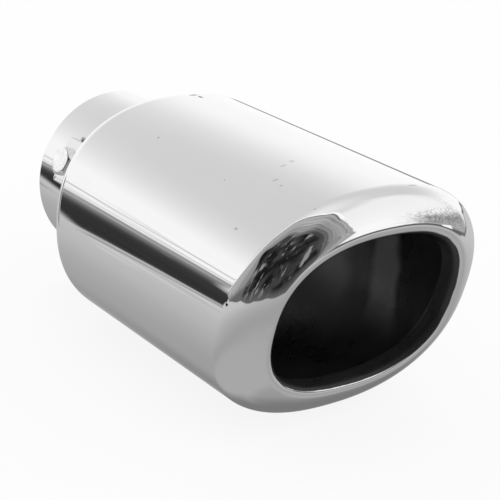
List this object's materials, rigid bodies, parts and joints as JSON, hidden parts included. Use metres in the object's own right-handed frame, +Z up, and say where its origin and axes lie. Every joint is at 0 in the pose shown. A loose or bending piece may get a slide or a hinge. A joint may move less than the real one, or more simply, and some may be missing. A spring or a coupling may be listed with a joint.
{
  "type": "exhaust tip",
  "caption": "Slant-cut oval exhaust tip with a rolled lip, a closed rear and a round inlet neck with radial clamp bolts.",
  "frame": {"origin": "centre of the inlet bore at the neck's rear edge", "axes": "+Y along the inlet bore, the way the tailpipe leaves; the mouth faces -Y; +Z up; +X across the oval body"},
  "size_m": [0.1016, 0.17, 0.0862],
  "materials": {
    "polished_steel": "mirror-polished stainless steel",
    "weld_metal": "brushed weld bead",
    "bolt_steel": "bright plated steel",
    "black_paint": "semi-gloss black paint inside the body"
  },
  "bodies": {
    "root": {"body_shell": "polished_steel", "rear_plate": "polished_steel", "inlet_neck": "polished_steel", "neck_weld": "weld_metal", "weld_plate_left": "polished_steel", "weld_plate_right": "polished_steel", "weld_plate_bottom": "polished_steel", "plate_tacks_left": "weld_metal", "plate_tacks_right": "weld_metal", "plate_tacks_bottom": "weld_metal", "clamp_bolt_left": "bolt_steel", "clamp_bolt_right": "bolt_steel", "clamp_bolt_bottom": "bolt_steel"}
  },
  "joints": []
}
